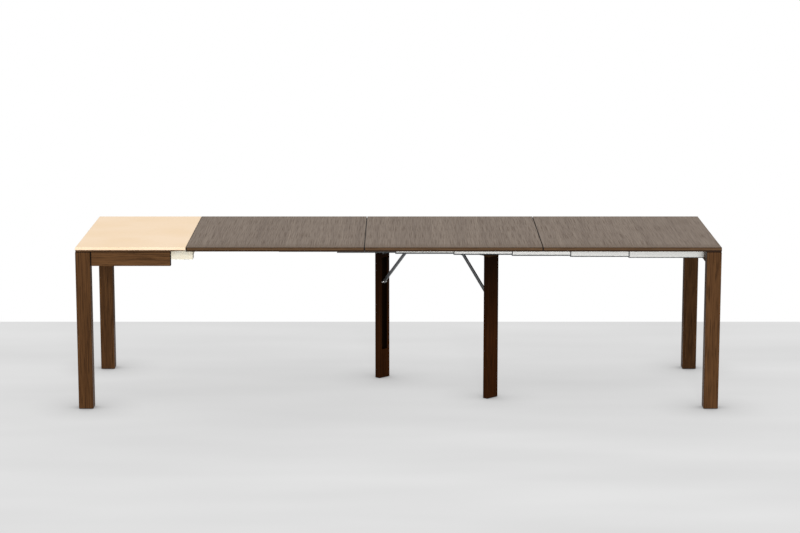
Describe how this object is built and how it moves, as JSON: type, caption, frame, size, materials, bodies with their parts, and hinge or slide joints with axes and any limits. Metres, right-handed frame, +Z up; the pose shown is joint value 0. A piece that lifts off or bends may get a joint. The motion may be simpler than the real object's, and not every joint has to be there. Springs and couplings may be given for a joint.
{
  "type": "extendable console table",
  "caption": "Console table that extends on telescopic rails to a long dining table, with loose leaves and folding, swivelling middle legs.",
  "frame": {"origin": "on the floor under the middle of the extended table", "axes": "+X along the table from the fixed console to the moving end, +Y from the front to the back, +Z up"},
  "size_m": [3, 0.9, 0.77],
  "materials": {
    "cream_lacquer": "satin lacquer on MDF, lighter along the rounded edges",
    "leaf_oak": "grey-brown stained open-pore oak veneer, matt lacquer",
    "dark_oak": "dark-stained oak, matt lacquer",
    "dark_board": "dark-stained board, matt",
    "beech": "plain pale beech, clear lacquer",
    "rail_aluminium": "extruded, satin anodised",
    "cap_plastic": "moulded dark grey plastic",
    "steel": "dark zinc-plated pressed steel",
    "bright_steel": "turned bright steel"
  },
  "bodies": {
    "console": {"fixed_top": "cream_lacquer", "under_board": "dark_board", "left_leg_front": "dark_oak", "left_leg_back": "dark_oak", "left_end_apron": "dark_oak", "side_apron_front": "dark_oak", "side_apron_back": "dark_oak", "corner_plates": "steel", "left_leg_glides": "cap_plastic", "guide_rail_front": "rail_aluminium", "guide_rail_back": "rail_aluminium"},
    "stage_9": {"rail_9_front": "rail_aluminium", "rail_9_back": "rail_aluminium", "rail_caps_9": "cap_plastic", "beech_crosspiece": "beech"},
    "stage_8": {"rail_8_front": "rail_aluminium", "rail_8_back": "rail_aluminium", "rail_caps_8": "cap_plastic"},
    "stage_7": {"rail_7_front": "rail_aluminium", "rail_7_back": "rail_aluminium", "rail_caps_7": "cap_plastic"},
    "stage_6": {"rail_6_front": "rail_aluminium", "rail_6_back": "rail_aluminium", "rail_caps_6": "cap_plastic"},
    "stage_5": {"rail_5_front": "rail_aluminium", "rail_5_back": "rail_aluminium", "rail_caps_5": "cap_plastic", "steel_crosspiece": "steel", "swivel_pin": "bright_steel"},
    "stage_4": {"rail_4_front": "rail_aluminium", "rail_4_back": "rail_aluminium", "rail_caps_4": "cap_plastic"},
    "stage_3": {"rail_3_front": "rail_aluminium", "rail_3_back": "rail_aluminium", "rail_caps_3": "cap_plastic"},
    "stage_2": {"rail_2_front": "rail_aluminium", "rail_2_back": "rail_aluminium", "rail_caps_2": "cap_plastic"},
    "right_frame": {"rail_1_front": "rail_aluminium", "rail_1_back": "rail_aluminium", "rail_caps_1": "cap_plastic", "right_leg_front": "dark_oak", "right_leg_back": "dark_oak", "right_end_apron": "dark_oak", "right_leg_glides": "cap_plastic"},
    "centre_support": {"leg_carrier": "dark_board", "hinge_strap_front": "steel", "hinge_strap_back": "steel", "pivot_pins": "bright_steel"},
    "folding_leg_front": {"middle_leg_front": "dark_oak", "hinge_plate_front": "steel"},
    "leg_brace_front": {"brace_front": "steel", "brace_roller_front": "bright_steel"},
    "folding_leg_back": {"middle_leg_back": "dark_oak", "hinge_plate_back": "steel"},
    "leg_brace_back": {"brace_back": "steel", "brace_roller_back": "bright_steel"},
    "loose_leaf_1": {"leaf_1": "leaf_oak"},
    "loose_leaf_2": {"leaf_2": "leaf_oak"},
    "loose_leaf_3": {"leaf_3": "leaf_oak"}
  },
  "joints": [
    {"name": "stage_9_slide", "type": "slide", "parent": "console", "child": "stage_9", "axis": [-1, 0, 0], "range_m": [0, 0.27633]},
    {"name": "stage_8_slide", "type": "slide", "parent": "stage_9", "child": "stage_8", "axis": [-1, 0, 0], "range_m": [0, 0.27633]},
    {"name": "stage_7_slide", "type": "slide", "parent": "stage_8", "child": "stage_7", "axis": [-1, 0, 0], "range_m": [0, 0.27633]},
    {"name": "stage_6_slide", "type": "slide", "parent": "stage_7", "child": "stage_6", "axis": [-1, 0, 0], "range_m": [0, 0.27633]},
    {"name": "stage_5_slide", "type": "slide", "parent": "stage_6", "child": "stage_5", "axis": [-1, 0, 0], "range_m": [0, 0.27633]},
    {"name": "stage_4_slide", "type": "slide", "parent": "stage_5", "child": "stage_4", "axis": [-1, 0, 0], "range_m": [0, 0.27633]},
    {"name": "stage_3_slide", "type": "slide", "parent": "stage_4", "child": "stage_3", "axis": [-1, 0, 0], "range_m": [0, 0.27633]},
    {"name": "stage_2_slide", "type": "slide", "parent": "stage_3", "child": "stage_2", "axis": [-1, 0, 0], "range_m": [0, 0.27633]},
    {"name": "extension_slide", "type": "slide", "parent": "stage_2", "child": "right_frame", "axis": [-1, 0, 0], "range_m": [0, 0.27633]},
    {"name": "carrier_swivel", "type": "hinge", "parent": "stage_5", "child": "centre_support", "pos_m": [0.17987, 0, 0.6935], "axis": [0, 0, 1], "range_deg": [-44, 0]},
    {"name": "leg_fold_front", "type": "hinge", "parent": "centre_support", "child": "folding_leg_front", "pos_m": [0.4253, -0.20089, 0.6825], "axis": [0.7193, 0.6947, 0], "range_deg": [0, 90]},
    {"name": "brace_fold_front", "type": "hinge", "parent": "centre_support", "child": "leg_brace_front", "pos_m": [0.30756, -0.07896, 0.677], "axis": [0.7193, 0.6947, 0], "range_deg": [0, 131.77]},
    {"name": "leg_fold_back", "type": "hinge", "parent": "centre_support", "child": "folding_leg_back", "pos_m": [-0.06557, 0.20089, 0.6825], "axis": [-0.7193, -0.6947, 0], "range_deg": [0, 90]},
    {"name": "brace_fold_back", "type": "hinge", "parent": "centre_support", "child": "leg_brace_back", "pos_m": [0.05218, 0.07896, 0.677], "axis": [-0.7193, -0.6947, 0], "range_deg": [0, 131.77]},
    {"name": "leaf_1_lift", "type": "slide", "parent": "console", "child": "loose_leaf_1", "axis": [0, 0, 1], "range_m": [0, 0.3]},
    {"name": "leaf_2_lift", "type": "slide", "parent": "console", "child": "loose_leaf_2", "axis": [0, 0, 1], "range_m": [0, 0.3]},
    {"name": "leaf_3_lift", "type": "slide", "parent": "console", "child": "loose_leaf_3", "axis": [0, 0, 1], "range_m": [0, 0.3]}
  ],
  "couplings": [
    {"joint": "stage_9_slide", "follows": "extension_slide", "ratio": 1},
    {"joint": "stage_8_slide", "follows": "extension_slide", "ratio": 1},
    {"joint": "stage_7_slide", "follows": "extension_slide", "ratio": 1},
    {"joint": "stage_6_slide", "follows": "extension_slide", "ratio": 1},
    {"joint": "stage_5_slide", "follows": "extension_slide", "ratio": 1},
    {"joint": "stage_4_slide", "follows": "extension_slide", "ratio": 1},
    {"joint": "stage_3_slide", "follows": "extension_slide", "ratio": 1},
    {"joint": "stage_2_slide", "follows": "extension_slide", "ratio": 1},
    {"joint": "carrier_swivel", "follows": "extension_slide", "rad_per_m": -2.779},
    {"joint": "brace_fold_front", "follows": "leg_fold_front", "ratio": 1.4641},
    {"joint": "brace_fold_back", "follows": "leg_fold_back", "ratio": 1.4641}
  ]
}
